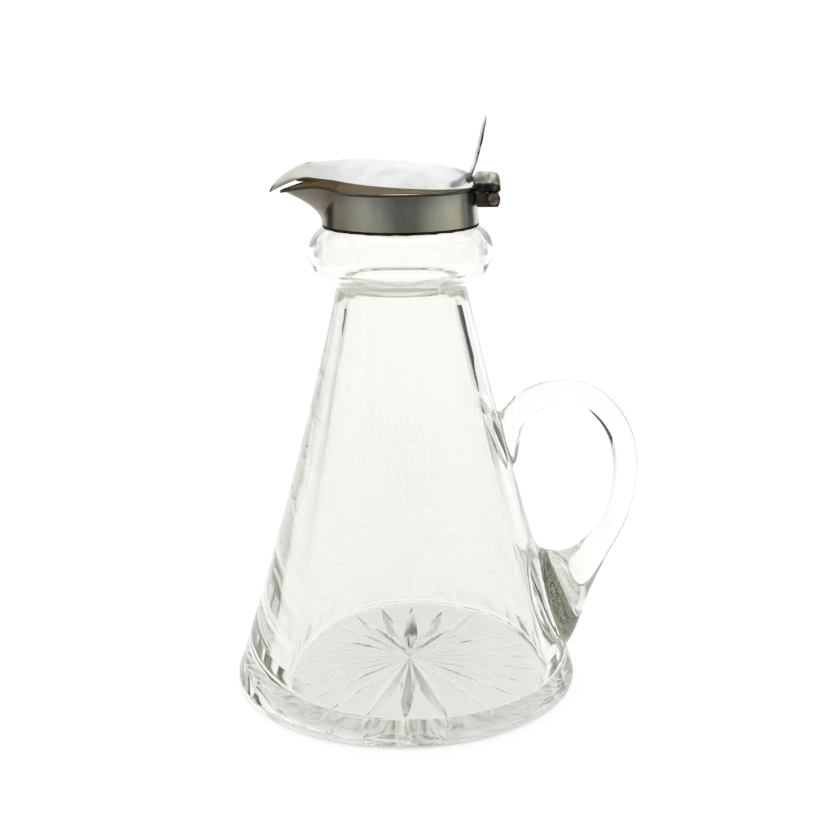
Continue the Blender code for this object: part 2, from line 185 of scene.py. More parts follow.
def makeCamera():
    tilt, turn, roll = cameraSet["tiltDown"], cameraSet["turn"], cameraSet["roll"]
    forward = Vector((sin(turn) * cos(tilt), cos(turn) * cos(tilt), -sin(tilt)))
    right = Vector((cos(turn), -sin(turn), 0))
    up = right.cross(forward)
    across = cos(roll) * right + sin(roll) * up
    upward = -sin(roll) * right + cos(roll) * up
    data = bpy.data.cameras.new("camera")
    data.sensor_width = cameraSet["sensor"]
    data.lens = cameraSet["lens"]
    data.clip_start = cameraSet["nearest"]
    camera = bpy.data.objects.new("camera", data)
    bpy.context.scene.collection.objects.link(camera)
    place = Matrix((across, upward, -forward)).transposed().to_4x4()
    place.translation = Vector(cameraSet["place"]) * mm
    camera.matrix_world = place
    bpy.context.scene.camera = camera


makeCamera()
print("camera ready")


glassSet = {
    "columns": 336,  # 12 to each facet of the foot and 14 to each cut of the star
    "footR": 40.25,
    "rimChamfer": 0.5,
    "rimZ": 2.2,  # where the arrises of the facets end
    "rimDip": 0.4,  # the facets cut lower than that in their middles
    "facetHollow": 0.05,  # the cutting wheel leaves them a little hollow
    "facetUneven": 0.14,  # and some of them deeper, by up to this much
    "facetFade": 14.0,  # the columns are even again this far above the foot
    "plainFrom": 22.0,  # and nothing is moved from this height up
    "arrisHalf": 0.035,  # half width of the ground arrises, share of a facet
    "footTopR": 38.9,
    "footTopZ": 6.2,
    "coneR": 38.9,
    "coneTopR": 14.7,
    "coneTopZ": 94.1,
    "coneSag": 1.04,
    "wallSteps": 36,
    "groove": ((13.75, 0.25), (13.55, 0.5)),  # tooled below the bulb: radius, height above the cone
    "bulbRingR": 13.04,
    "bulbZ": 102.34,
    "bulbRound": 7.72,
    "bulbRise": 6.58,
    "neckR": 16.0,
    "neckTopZ": 113.0,
    "neckLip": 0.7,
    "mouthR": 13.4,
    "floorZ": 2.4,
    "floorRound": (3.5, 0.9),  # how wide and high the floor's rounded edge is
    "cavityR": 31.5,
    "cavityZ": 3.35,
    "cavityLean": 2.0,  # the hollow leans towards the handle, this much at the floor
    "cavityTopR": 12.1,
    "cavityTopZ": 92.3,
    "cavitySag": 0.45,
    "handleSteps": 6,
    "handleSides": 36,
}

# arrises between the 28 hand-cut facets, degrees from +X
facetAngles = [-151.6, -136.9, -124.9, -114.9, -101.4, -87.0, -75.7, -62.5, -47.3]
facetAngles += [facetAngles[-1] + 12.74 * i + 1.5 * sin(2.3 * i) for i in range(1, 19)]
facetAngles += [facetAngles[0] + 360 - 12.4, facetAngles[0] + 360]

# the cuts of the star under the base, degrees from +X
rayAngles = [-166.6, -151.8, -136.9, -123.3, -107.0, -91.0, -74.0, -55.9, -38.7, -25.0, -11.3, 1.0,
        13.3, 27.5, 41.2, 55.0, 71.6, 89.8, 107.5, 123.0, 138.0, 153.0, 167.5, 180.5]
starSet = {
    "reach": 31.0,
    "deepTo": 12.0,  # the cuts keep their full depth up to here
    "depth": 1.35,
    "slope": 1.30,  # half width for each mm of depth
    "centerDepth": 1.2,
    "reachUneven": 3.0,  # some cuts stop short by up to this much
    "startR": 33.0,
    "rings": 26,
    "sideSteps": 3,  # columns down the side of a cut
    "flatSteps": 4,  # and from its edge to the middle between two cuts
}

# outer and inner point of each section of the handle (x from the jug's axis, z) and half its width
handleSections = (
    ((20.6, 64.0), (23.9, 50.3), 3.1),
    ((22.9, 64.7), (26.3, 52.4), 3.6),
    ((24.9, 67.2), (27.4, 58.4), 3.2),
    ((29.2, 70.2), (29.8, 63.4), 2.95),
    ((36.6, 71.9), (36.6, 66.2), 2.85),
    ((42.7, 70.9), (41.0, 65.5), 2.85),
    ((48.3, 67.1), (44.6, 62.7), 2.9),
    ((52.5, 61.2), (47.5, 58.1), 2.9),
    ((54.6, 54.0), (48.9, 52.8), 2.9),
    ((54.4, 45.8), (48.7, 45.5), 2.9),
    ((52.2, 37.2), (46.6, 38.0), 2.9),
    ((47.9, 28.3), (42.1, 32.3), 3.0),
    ((44.4, 20.5), (37.8, 30.1), 3.8),
    ((42.2, 13.8), (33.9, 30.3), 5.4),
    ((39.3, 7.2), (30.6, 31.6), 8.6),
    ((36.4, 7.4), (28.4, 30.2), 10.5),
)


def innerNeck():
    # from the mouth down the bulb and through the soft waist into the cone
    points = ((13.7, 111.9), (14.5, 110.6), (17.0, 107.9), (18.9, 105.2), (19.5, 102.3), (19.0, 99.9),
            (17.6, 98.2), (15.8, 97.0), (14.0, 96.1), (12.8, 95.0), (12.3, 93.6), (12.1, 92.3))
    return [(p.x, p.y) for p in smoothLine(points, 4)][1:-1]


def glassProfile():
    g = glassSet
    neckAngle = degrees(acos((g["neckR"] - g["bulbRingR"]) / g["bulbRound"]))
    profile = [(g["footR"] - g["rimChamfer"], 0.0), (g["footR"], g["rimChamfer"]), (g["footR"], 0.8),
            (g["footR"], g["rimZ"])]
    for i in range(1, 5):
        t = i / 4
        profile.append((g["footR"] + (g["footTopR"] - g["footR"]) * t, g["rimZ"] + (g["footTopZ"] - g["rimZ"]) * t))
    profile += hollowSide(g["coneR"], g["footTopZ"] + 0.05, g["coneTopR"], g["coneTopZ"], g["coneSag"],
            g["wallSteps"])
    profile += [(radius, g["coneTopZ"] + rise) for radius, rise in g["groove"]]
    profile += arc(g["bulbRingR"], g["bulbZ"], g["bulbRound"], g["bulbRound"], -84, -6, 18)
    profile += arc(g["bulbRingR"], g["bulbZ"], g["bulbRound"], g["bulbRise"], 0, neckAngle, 16)
    lipR, lipZ = g["neckR"] - g["neckLip"], g["neckTopZ"] - g["neckLip"]
    profile += arc(lipR, lipZ, g["neckLip"], g["neckLip"], 0, 90, 4)
    profile += [(g["mouthR"] + 0.9, g["neckTopZ"]), (g["mouthR"] + 0.3, g["neckTopZ"] - 0.25),
            (g["mouthR"], g["neckTopZ"] - 1.1)]
    profile += innerNeck()
    profile += list(reversed(hollowSide(g["cavityR"], g["cavityZ"], g["cavityTopR"], g["cavityTopZ"],
            g["cavitySag"], g["wallSteps"])))
    wide, high = g["floorRound"]
    profile += arc(g["cavityR"] - wide, g["floorZ"] + high, wide, high, 0, -90, 12)
    profile += [((g["cavityR"] - wide) * (1 - i / 12), g["floorZ"]) for i in range(1, 12)]
    profile.append((0.0, g["floorZ"]))
    return profile


def spunProfile(profile, steps):
    bm = bmesh.new()
    verts = [bm.verts.new((axisX + r * mm, 0, z * mm)) for r, z in profile]
    edges = [bm.edges.new(pair) for pair in zip(verts, verts[1:])]
    bmesh.ops.spin(bm, geom=verts + edges, cent=(axisX, 0, 0), axis=(0, 0, 1), dvec=(0, 0, 0), angle=2 * pi,
            steps=steps, use_merge=True, use_normal_flip=False, use_duplicate=False)
    bmesh.ops.remove_doubles(bm, verts=bm.verts, dist=1e-6)
    return bm


def cutFoot(bm):
    # gathers the columns at the arrises and lays the facets flat between them
    g = glassSet
    facets = len(facetAngles) - 1
    perFacet = g["columns"] // facets
    rnd = Random(5)
    uneven = [g["facetUneven"] * rnd.random() for _ in range(facets)]
    for vert in bm.verts:
        x, y, z = vert.co.x - axisX, vert.co.y, vert.co.z / mm
        radius = hypot(x, y) / mm
        outside = radius > g["coneR"] + (g["coneTopR"] - g["coneR"]) * z / g["coneTopZ"] - 2.0
        if z < g["cavityTopZ"] and not outside and z > 1:
            vert.co.x += g["cavityLean"] * (1 - z / g["cavityTopZ"]) * mm
        if z > g["plainFrom"] or not outside or radius < 30:
            continue
        angle = degrees(atan2(y, x))
        column = round((angle - facetAngles[0]) % 360 / 360 * g["columns"]) % g["columns"]
        facet, step = divmod(column, perFacet)
        low, high = facetAngles[facet], facetAngles[facet + 1]
        middle, half = (low + high) / 2, (high - low) / 2
        across = step / perFacet
        if step in (1, perFacet - 1):
            across = g["arrisHalf"] if step == 1 else 1 - g["arrisHalf"]
        target = low + (high - low) * across
        regular = facetAngles[0] + 360 * column / g["columns"]
        hold = 1 - easeInOut((z - g["footTopZ"]) / g["facetFade"])
        turned = regular + (target - regular) * hold
        if g["rimZ"] - 0.01 <= z <= g["footTopZ"] + 0.01:
            off = (turned - middle) / half
            up = (z - g["rimZ"]) / (g["footTopZ"] - g["rimZ"])
            flatTop = g["footTopR"] * cos(radians(half)) / cos(radians(turned - middle))
            edgeZ = g["rimZ"] - g["rimDip"] * (1 - off * off)
            radius = g["footR"] + (flatTop - g["footR"]) * up
            radius -= (g["facetHollow"] + uneven[facet] * (0.3 + 0.7 * up)) * (1 - off * off)
            if step == 0:
                radius -= 0.03
            z = edgeZ + (g["footTopZ"] - edgeZ) * up
        vert.co = ringPoint(radius, radians(turned), z)


def starHeight(radius, turn, ray, nextRay, reaches):
    height = 0.0
    for angle, reach in ((ray, reaches[0]), (nextRay, reaches[1])):
        along = max(0.0, (radius - starSet["deepTo"]) / (reach - starSet["deepTo"]))
        depth = starSet["depth"] * (1 - along * along)
        depth = starSet["centerDepth"] + (depth - starSet["centerDepth"]) * easeInOut(radius / 6)
        off = abs(radius * sin(radians(turn - angle)))
        height = max(height, depth - off / starSet["slope"])
    return height


def cutStops(span, half):
    # from the bottom of a cut to its edge and on to the middle between two cuts
    side, flat = starSet["sideSteps"], starSet["flatSteps"]
    return [span * k / side for k in range(side)] + [span + (half - span) * k / flat for k in range(flat + 1)]


def cutStar(bm):
    # the foot's lower edge is extruded inwards in columns that follow the mitre cuts:
    # bottom of each cut, its two edges and the ridge or flat between
    s = starSet
    rnd = Random(11)
    reaches = [s["reach"] - s["reachUneven"] * rnd.random() ** 1.5 for _ in rayAngles]
    rays = len(rayAngles)
    rings = []
    for ringIndex in range(s["rings"], 0, -1):
        radius = s["startR"] * ringIndex / s["rings"]
        ring = []
        for i, ray in enumerate(rayAngles):
            nextRay = rayAngles[(i + 1) % rays] + (360 if i == rays - 1 else 0)
            pair = (reaches[i], reaches[(i + 1) % rays])
            gap = nextRay - ray
            spans = []
            for reach in pair:
                along = max(0.0, (radius - s["deepTo"]) / (reach - s["deepTo"]))
                depth = max(0.02, s["depth"] * (1 - along * along))
                spans.append(min(degrees(depth * s["slope"] / radius), gap * 0.46))
            left, right = cutStops(spans[0], gap / 2)[:-1], cutStops(spans[1], gap / 2)[1:]
            for stop in left + [gap - turn for turn in reversed(right)]:
                turn = ray + stop
                z = max(0.0, starHeight(radius, turn, ray, nextRay, pair))
                ring.append(ringPoint(radius, radians(turn), z))
        rings.append(ring)
    lower = [v for v in bm.verts if abs(v.co.z) < 1e-8 and hypot(v.co.x - axisX, v.co.y) > 39 * mm]
    start = rayAngles[0]
    lower.sort(key=lambda v: (degrees(atan2(v.co.y, v.co.x - axisX)) - start + 0.01) % 360)
    inner = extrudeOn(bm, lower, rings)
    hub = bmesh.ops.contextual_create(bm, geom=inner)["faces"]
    center = bmesh.ops.poke(bm, faces=hub)["verts"][0]
    center.co = (axisX, 0, s["centerDepth"] * mm)


def handleRings(steps, sides):
    lines = [smoothLine([section[side] for section in handleSections], steps) for side in (0, 1)]
    widths = smoothLine([(section[2], 0.0) for section in handleSections], steps)
    rings = []
    for outer, inner, width in zip(*lines, widths):
        middle = (outer + inner) * 0.5 * mm
        half = (outer - inner) * 0.5 * mm
        ring = []
        for i in range(sides):
            turn = 2 * pi * i / sides
            flat = middle + half * cos(turn)
            ring.append((axisX + flat.x, width.x * mm * sin(turn), flat.y))
        rings.append(ring)
    return rings


def joinHandle(body, handle):
    modifier = body.modifiers.new("join", "BOOLEAN")
    modifier.operation = "UNION"
    modifier.solver = "EXACT"
    modifier.object = handle
    result = bpy.data.meshes.new_from_object(body.evaluated_get(bpy.context.evaluated_depsgraph_get()))
    bm = bmesh.new()
    bm.from_mesh(result)
    for thing in (body, handle):
        bpy.data.objects.remove(thing)
    return bm


jointSet = {
    "crease": 22.0,  # degrees
    "outsideR": 20.0,
    "fromX": 8.0,
    "finest": 0.35,  # mm; longer edges are cut in two
    # from and to which height, how far the glass flowed, and shares of that with their passes
    "lower": (7.9, 40.0, 3.2, ((1.0, 6), (0.7, 14), (0.45, 20))),
    "upper": (46.0, 74.0, 1.2, ((1.0, 3), (0.5, 5))),
}


def softenJoint(bm, lowZ, highZ, reach, passes):
    # melts the crease where the handle meets the wall
    j = jointSet

    def nearJoint(vert):
        outside = hypot(vert.co.x - axisX, vert.co.y) > j["outsideR"] * mm and vert.co.x > j["fromX"] * mm
        return outside and lowZ < vert.co.z / mm < highZ

    crease = {v for e in bm.edges if e.calc_face_angle(0) > radians(j["crease"]) for v in e.verts if nearJoint(v)}
    tree = KDTree(len(crease))
    for i, vert in enumerate(crease):
        tree.insert(vert.co, i)
    tree.balance()

    def within(limit):
        return {v for v in bm.verts if nearJoint(v) and tree.find(v.co)[2] < limit * mm}

    region = within(reach)
    faces = {f for v in region for f in v.link_faces}
    bmesh.ops.triangulate(bm, faces=list(faces))
    region = within(reach)
    edges = {e for v in region for e in v.link_edges if e.calc_length() > j["finest"] * mm}
    bmesh.ops.subdivide_edges(bm, edges=list(edges), cuts=1, use_grid_fill=True)
    for share, count in passes:
        verts = list(within(reach * share))
        for _ in range(count):
            bmesh.ops.smooth_vert(bm, verts=verts, factor=0.5, use_axis_x=True, use_axis_y=True, use_axis_z=True)


def glassSharp(place):
    # the arrises of the facets are crisp, the turned glass is soft
    radius, z = hypot(place.x - axisX, place.y) / mm, place.z / mm
    onBand = radius > glassSet["footTopR"] - 0.6 and 0.9 < z < glassSet["footTopZ"] + 0.3
    return 6 if onBand else 28


def markGround(bm):
    # the arrises and the lower edges of the foot are ground, not polished
    g = glassSet
    layer = bm.verts.layers.float.new("ground")
    for vert in bm.verts:
        x, y, z = vert.co.x - axisX, vert.co.y, vert.co.z / mm
        radius = hypot(x, y) / mm
        if radius < g["footTopR"] - 0.5 or z > g["footTopZ"] - 0.2:
            continue
        angle = (degrees(atan2(y, x)) - facetAngles[0]) % 360
        onArris = min(abs(angle + facetAngles[0] - arris) for arris in facetAngles) < 0.05
        vert[layer] = 1.0 if onArris and z > g["rimChamfer"] or abs(z - g["rimChamfer"]) < 0.01 else 0.0


def makeGlass(material):
    bm = spunProfile(glassProfile(), glassSet["columns"])
    cutFoot(bm)
    cutStar(bm)
    body = bareObject("turnedBody", bm)
    rod = bmesh.new()
    extrudeRings(rod, handleRings(glassSet["handleSteps"], glassSet["handleSides"]))
    handle = bareObject("handleRod", rod)
    joined = joinHandle(body, handle)
    softenJoint(joined, *jointSet["lower"])
    softenJoint(joined, *jointSet["upper"])
    markGround(joined)
    finishPiece("glassJug", joined, material, "jug", ["glass_body"], sharpAt=glassSharp)


crystalSet = {
    "refraction": 1.545,  # there is lead in the glass
    "surface": "#FCFCFA",
    "depth": "#EDEEE9",
    "density": 24.0,  # of that colour, for each metre
    "waves": (90.0, 1.0, 0.15, 0.0006),  # scale, detail, strength and height in m
    "flatRough": 0.075,  # the worn flat between the cuts of the star
    "cutRough": 0.15,  # the cuts themselves, polished by hand
    "arrisRough": 0.35,  # more on the ground arrises
    "cutZ": (0.0001, 0.0007),  # m; from the flat into the cuts
    "baseR": (0.0325, 0.0310),  # m; the base is dull inside this radius
    "baseZ": (0.0030, 0.0015),  # m; and below this height
}


def glassMaterial():
    # lead crystal, blown, cut and fire polished: clear with bright bent lights, greyer where it is thick,
    # and a little soft to see through at the cut base
    c = crystalSet
    material, tree, shader = newMaterial("leadCrystalBlown", {
        "Base Color": hexColor(c["surface"]), "IOR": c["refraction"], "Transmission Weight": 1.0})
    spot = addNode(tree, "TexCoord").outputs["Object"]
    scale, detail, strength, height = c["waves"]
    waves = addNode(tree, "TexNoise", {"Vector": spot, "Scale": scale, "Detail": detail})
    bump = addNode(tree, "Bump", {"Height": waves.outputs["Fac"], "Strength": strength, "Distance": height})
    tree.links.new(bump.outputs["Normal"], shader.inputs["Normal"])
    place = addNode(tree, "SeparateXYZ", {"Vector": spot})
    out = addNode(tree, "VectorMath", {0: spot, 1: (axisX, 0, 0)}, operation="DISTANCE")
    cuts = addNode(tree, "MapRange", {"Value": place.outputs["Z"], "From Min": c["cutZ"][0],
            "From Max": c["cutZ"][1], "To Min": c["flatRough"], "To Max": c["cutRough"]})
    inner = addNode(tree, "MapRange", {"Value": out.outputs["Value"], "From Min": c["baseR"][0],
            "From Max": c["baseR"][1], "To Max": cuts.outputs["Result"]})
    soft = addNode(tree, "MapRange", {"Value": place.outputs["Z"], "From Min": c["baseZ"][0],
            "From Max": c["baseZ"][1], "To Max": inner.outputs["Result"]})
    ground = addNode(tree, "Attribute", attribute_name="ground")
    rough = addNode(tree, "Math", {0: ground.outputs["Fac"], 1: c["arrisRough"], 2: soft.outputs["Result"]},
            operation="MULTIPLY_ADD")
    tree.links.new(rough.outputs[0], shader.inputs["Roughness"])
    absorb = addNode(tree, "VolumeAbsorption", {"Color": hexColor(c["depth"]), "Density": c["density"]})
    tree.links.new(absorb.outputs["Volume"], tree.nodes["Material Output"].inputs["Volume"])
    return material


makeGlass(glassMaterial())
print("glass ready")


wearSet = {
    "cloudScale": 180.0,  # of the film of handling
    "cloudBand": (0.35, 0.65),
    "fineScale": 900.0,  # of the scratches
    "rippleScale": 140.0,
    "ripple": 0.0016,  # m; how far the bands of colour wander: grime on the lug, painted reflections and shade elsewhere
    "insideRough": 0.42,
}


def metalMaterial(name, base, dark, roughness, spread, stretch=(1, 1, 1)):
    # worn metal: a cloudy film over the bare colour, and fine wear that changes the gloss
    material, tree, shader = newMaterial(name, {"Metallic": 1.0})
    spot = addNode(tree, "TexCoord").outputs["Object"]
    place = addNode(tree, "VectorMath", {0: spot, 1: stretch}, operation="MULTIPLY")
    cloud = addNode(tree, "TexNoise", {"Vector": place.outputs[0], "Scale": wearSet["cloudScale"],
            "Detail": 5.0})
    tone = addNode(tree, "ValToRGB", {"Fac": cloud.outputs["Fac"]},
            list(zip(wearSet["cloudBand"], (dark, base))))
    fine = addNode(tree, "TexNoise", {"Vector": place.outputs[0], "Scale": wearSet["fineScale"], "Detail": 4.0})
    gloss = addNode(tree, "MapRange", {"Value": fine.outputs["Fac"], "To Min": roughness,
            "To Max": roughness + spread})
    tree.links.new(tone.outputs["Color"], shader.inputs["Base Color"])
    tree.links.new(gloss.outputs["Result"], shader.inputs["Roughness"])
    return material


def blendOver(tree, socket, share, value, blend="MIX"):
    # lays another value over what already drives the shader's socket, as far as share says
    shader = tree.nodes["Principled BSDF"]
    under = shader.inputs[socket].links[0].from_socket
    if socket == "Base Color":
        mix = addNode(tree, "Mix", {0: share, 6: under, 7: value}, data_type="RGBA", blend_type=blend)
        tree.links.new(mix.outputs[2], shader.inputs[socket])
    else:
        mix = addNode(tree, "Mix", {0: share, 2: under, 3: value}, data_type="FLOAT")
        tree.links.new(mix.outputs[0], shader.inputs[socket])


def bandAlong(tree, axis, start, end, stops):
    # a colour ramp along one axis of the object, start and end in mm
    spot = addNode(tree, "TexCoord").outputs["Object"]
    ripple = addNode(tree, "TexNoise", {"Vector": spot, "Scale": wearSet["rippleScale"], "Detail": 3.0})
    wander = wearSet["ripple"]
    place = addNode(tree, "SeparateXYZ", {"Vector": spot})
    shift = addNode(tree, "Math", {0: ripple.outputs["Fac"], 1: wander, 2: place.outputs[axis]},
            operation="MULTIPLY_ADD")
    along = addNode(tree, "MapRange", {"Value": shift.outputs[0], "From Min": start * mm + wander / 2,
            "From Max": end * mm + wander / 2})
    ramp = addNode(tree, "ValToRGB", {"Fac": along.outputs["Result"]},
            [((at - start) / (end - start), tone) for at, tone in stops])
    return ramp.outputs["Color"]


def zoneShare(tree, stops):
    # how far a place on the sheet counts as edge or inside, from the marks of its rings
    zone = addNode(tree, "Attribute", attribute_name="zone")
    return addNode(tree, "ValToRGB", {"Fac": zone.outputs["Fac"]}, stops).outputs["Color"]


def leaveInside(tree, start, end, code):
    # the inside of the sheet was never polished
    for socket, value in (("Base Color", hexColor(code)), ("Roughness", wearSet["insideRough"])):
        blendOver(tree, socket, zoneShare(tree, [(start, 0.0), (end, 1.0)]), value)


collarSet = {
    "baseR": 17.5,
    "baseZ": 108.4,
    "rimR": 16.9,
    "rimZ": 116.35,
    "wall": 0.6,
    "levels": 18,
    "points": 144,
    "spoutReach": 9.7,
    "spoutSpread": 35.0,  # half angle of the spout at the rim, degrees
    "spoutRootSpread": 15.0,
    "spoutPower": 1.65,  # how fast it narrows towards its tip
    "spoutFlare": 1.9,  # how late it leaves the wall on the way up
    "tipRound": 2.0,  # degrees
    "spoutLift": 1.05,  # of the rim beside the tip, over this many degrees
    "liftSpan": 42.0,
    "spoutDip": 0.45,  # of the rim at the tip
    "dipSpan": 12.0,
    "farLift": 0.5,  # the rim stands a little higher on the far side
    "farSpan": 50.0,
    "lip": (0.62, 0.12),  # height and reach of the rolled edge
}


def rimAngles(count):
    # angles from the spout's tip round the rim, closer together at the spout
    spans = [2 * i / count - 1 for i in range(count)]
    return [pi * s * (0.5 + 0.5 * abs(s)) for s in spans]


def spoutShare(angle, spread):
    # how much of the spout's reach is left at this angle from its tip
    soft = radians(collarSet["tipRound"])
    away = sqrt(angle * angle + soft * soft) - soft
    return max(0.0, 1 - away / spread) ** collarSet["spoutPower"]


def rimLift(angle):
    c = collarSet
    away = degrees(abs(angle))
    lift = 0.0
    if away < c["liftSpan"]:
        lift += c["spoutLift"] * sin(pi * away / c["liftSpan"]) ** 2
    if away < c["dipSpan"]:
        lift -= c["spoutDip"] * (1 - away / c["dipSpan"]) ** 2
    if 0 < degrees(angle) < c["farSpan"]:
        lift += c["farLift"] * sin(pi * degrees(angle) / c["farSpan"]) ** 2
    return lift


def collarRing(level, inset, drop=0.0):
    c = collarSet
    spread = radians(c["spoutRootSpread"] + (c["spoutSpread"] - c["spoutRootSpread"]) * level)
    radius = c["baseR"] + (c["rimR"] - c["baseR"]) * level - inset
    ring = []
    for angle in rimAngles(c["points"]):
        reach = radius + c["spoutReach"] * level ** c["spoutFlare"] * spoutShare(angle, spread)
        z = c["baseZ"] + (c["rimZ"] - c["baseZ"] + rimLift(angle)) * level - drop
        ring.append((axisX - reach * cos(angle) * mm, reach * sin(angle) * mm, z * mm))
    return ring


def makeCollar(material):
    c = collarSet
    levels = [i / c["levels"] for i in range(c["levels"] + 1)]
    rings = [collarRing(0.0, 0.12), collarRing(0.012, 0.0)]
    rings += [collarRing(level, 0.0) for level in levels[1:-1]]
    lipHigh, lipOut = c["lip"]
    rings += [collarRing(1.0, 0.0, lipHigh + 0.08), collarRing(1.0, -lipOut, lipHigh - 0.06),
            collarRing(1.0, -lipOut, 0.22), collarRing(1.0, -lipOut + 0.09, 0.06), collarRing(1.0, 0.12),
            collarRing(1.0, c["wall"] - 0.22), collarRing(1.0, c["wall"] - 0.06, 0.08)]
    inner = [collarRing(level, c["wall"]) for level in reversed(levels[:-1])]
    # zone 0 is the outside, 0.5 the rolled lip and 1 the inside
    marks = [0.0] * (len(rings) - 6) + [0.5] * 5 + [0.65] + [1.0] * len(inner) + [0.0]
    bm = bmesh.new()
    extrudeRings(bm, rings + inner + rings[:1], caps=False, marks=marks)
    finishPiece("silverCollar", bm, material, "jug", ["collar"], sharp=50)


def collarMaterial():
    # silver plate with reflections painted into its colour: bright bands on both shoulders, grey between them, and
    # painted shade towards the rim and along the rolled lip, under the lid's edge; the inside was never polished and
    # has gone tan
    material = metalMaterial("silverPlateWithPaintedReflections", "#FBFBF6", "#EAEAE2", 0.17, 0.14)
    tree = material.node_tree
    # painted reflections: bright and dark bands across the collar, set into its colour
    paintedReflections = bandAlong(tree, 0, -26.0, 9.5, [(-27.5, "#8F8478"), (-22.4, "#908679"), (-20.2, "#9C998C"),
            (-18.2, "#C6C6B6"), (-14.6, "#FAF9EA"), (-11.6, "#F0F6F1"), (-8.2, "#B4B6B1"), (-3.6, "#B0B2AC"),
            (-0.6, "#F0F0E8"), (2.4, "#FFFEF0"), (5.0, "#ECEADA"), (6.4, "#8F908A"), (8.0, "#C6CBD2")])
    blendOver(tree, "Base Color", 1.0, paintedReflections, "MULTIPLY")
    # painted shade: darker towards the rim, under the lid's edge
    height = bandAlong(tree, 2, 108.0, 117.6, [(108.3, "#FFFDF0"), (111.0, "#FFFFF6"), (113.4, "#FAFBFA"),
            (115.6, "#DDDFDF")])
    blendOver(tree, "Base Color", 1.0, height, "MULTIPLY")
    # painted shade: the rolled lip dark grey under the lid's edge
    blendOver(tree, "Base Color", zoneShare(tree, [(0.05, 0.0), (0.35, 1.0)]), hexColor("#5C5A50"))
    leaveInside(tree, 0.6, 0.9, "#D3C6AC")
    return material


cementSet = {
    "radius": 17.22,
    "z": 108.12,
    "thick": 0.30,
    "high": 0.34,
    "coarse": (9.0, 0.16),  # scale round the ring and height, mm
    "fine": (40.0, 0.10),
    "points": 180,
    "sides": 8,
}


def makeCement(material):
    # what is left of the cement that holds the collar, ragged along its lower edge
    c = cementSet
    (coarseScale, coarseHigh), (fineScale, fineHigh) = c["coarse"], c["fine"]
    rings = []
    for i in range(c["sides"] + 1):
        turn = 2 * pi * i / c["sides"]
        ring = []
        for k in range(c["points"]):
            angle = 2 * pi * k / c["points"]
            rough = noise.noise(Vector((cos(angle) * coarseScale, sin(angle) * coarseScale, 0.0)))
            fine = noise.noise(Vector((cos(angle) * fineScale, sin(angle) * fineScale, 5.0)))
            height = c["high"] + coarseHigh * rough + fineHigh * fine
            radius = c["radius"] + c["thick"] * cos(turn) * (1 + 0.3 * fine)
            ring.append(ringPoint(radius, angle, c["z"] + height * sin(turn)))
        rings.append(ring)
    bm = bmesh.new()
    extrudeRings(bm, rings, caps=False)
    finishPiece("collarCement", bm, material, "jug", sharp=80)


lidSet = {
    "radius": 17.3,
    "reach": 11.5,  # of the beak past the round edge
    "rise": 4.15,
    "saddle": 0.17,
    "saddleX": (-9.0, -29.0),
    "sheet": 0.7,
    "ajar": 4.1,  # degrees
    "planeX": 19.5,
    "planeZ": 116.5,
    "power": 2.5,  # squareness of the dome's section at the beak and at the back
    "flatPower": 3,  # and along the sides, where it is flatter
    "flatAngles": (4.0, 22.0, 147.0, 172.0),  # degrees from the beak; fully flat between the middle two
    "beakX": -20.0,
    "beakDrop": 4.6,
    "beakBend": 1.4,
    "keel": 4.1,  # a tongue below the beak that drops into the spout
    "keelWide": 5.0,
    "keelX": (-9.0, -17.0, -21.5, -25.1),  # it begins, is full, and is full and gone again
    "edge": (0.10, 0.22),  # drop and tuck of the rim's lower edge
    "points": 144,
    "greyPatchAt": (7.0, -2.0, 118.0),  # the middle of a dull grey patch, mm
    "greyPatch": (4.2, 1.0, 2.2),  # mm to its end and to where it is full, and its strength there
    "greyPatchScale": 1400.0,
    "domeAngles": (2, 6, 11, 17, 23, 29, 35, 41, 47, 53, 58, 63, 68, 72, 76, 79, 82, 84.5, 86.5, 88.2),
}


def lidRing(share, rise, grow, below=False):
    # one ring of the dome in the lid's own plane, then set ajar; below is its underside with the tongue
    s = lidSet
    square = rise * max(0.0, 1 - share ** s["power"]) ** (1 / s["power"])
    flat = rise * (1 - share ** s["flatPower"])
    leave, level, hold, rejoin = s["flatAngles"]
    begin, deep, shallow, gone = s["keelX"]
    full = s["radius"] + s["reach"] + s["beakX"]
    place = (Matrix.Translation((axisX, 0, (s["planeZ"] + s["planeX"] * tan(radians(s["ajar"]))) * mm))
            @ Matrix.Rotation(radians(s["ajar"]), 4, "Y"))
    ring = []
    for angle in rimAngles(s["points"]):
        reach = (s["radius"] + grow + s["reach"] * spoutShare(angle, radians(collarSet["spoutSpread"]))) * share
        x = -reach * cos(angle)
        away = degrees(abs(angle))
        onSide = easeInOut((away - leave) / (level - leave)) * easeInOut((rejoin - away) / (rejoin - hold))
        height = square + (flat - square) * onSide
        start, end = s["saddleX"]
        along = min(1.0, max(0.0, (x - start) / (end - start)))
        dip = 1 - s["saddle"] * sin(pi * along) ** 2
        drop = s["beakDrop"] * (max(0.0, s["beakX"] - x) / full) ** s["beakBend"]
        if below:
            across = max(0.0, 1 - (reach * sin(angle) / s["keelWide"]) ** 2)
            along = easeInOut((begin - x) / (begin - deep)) * easeInOut((x - gone) / (shallow - gone))
            drop += s["keel"] * across ** 1.5 * along
        ring.append(place @ Vector((x * mm, reach * sin(angle) * mm, (height * dip - drop) * mm)))
    return ring


